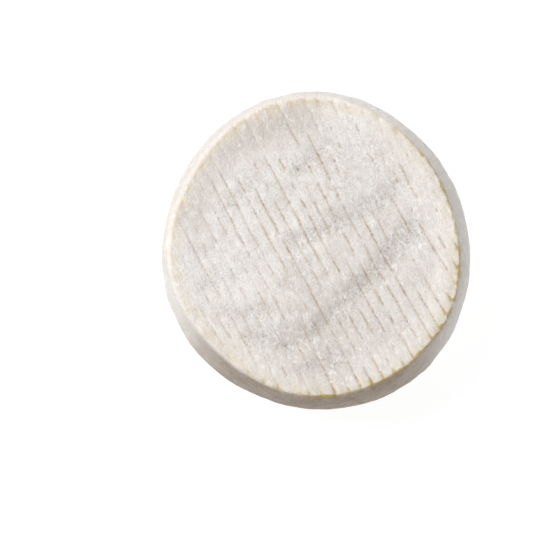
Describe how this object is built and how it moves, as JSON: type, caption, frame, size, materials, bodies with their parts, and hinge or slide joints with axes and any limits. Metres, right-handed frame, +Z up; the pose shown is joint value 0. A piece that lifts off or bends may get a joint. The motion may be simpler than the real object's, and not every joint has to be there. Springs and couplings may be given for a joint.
{
  "type": "cheese wheel",
  "caption": "Small soft-ripened cheese wheel with a velvety white rind, bulging sides and parallel draining-mat marks across its flat faces.",
  "frame": {"origin": "middle of the wheel's box, on the surface it rests on", "axes": "+Z up through both flat faces, +Y along the mat marks, +X across them"},
  "size_m": [0.1104, 0.1148, 0.034],
  "materials": {
    "rind": "matt, velvety white mould bloom with thin ochre mat marks"
  },
  "bodies": {
    "root": {"cheese_wheel": "rind"}
  },
  "joints": []
}
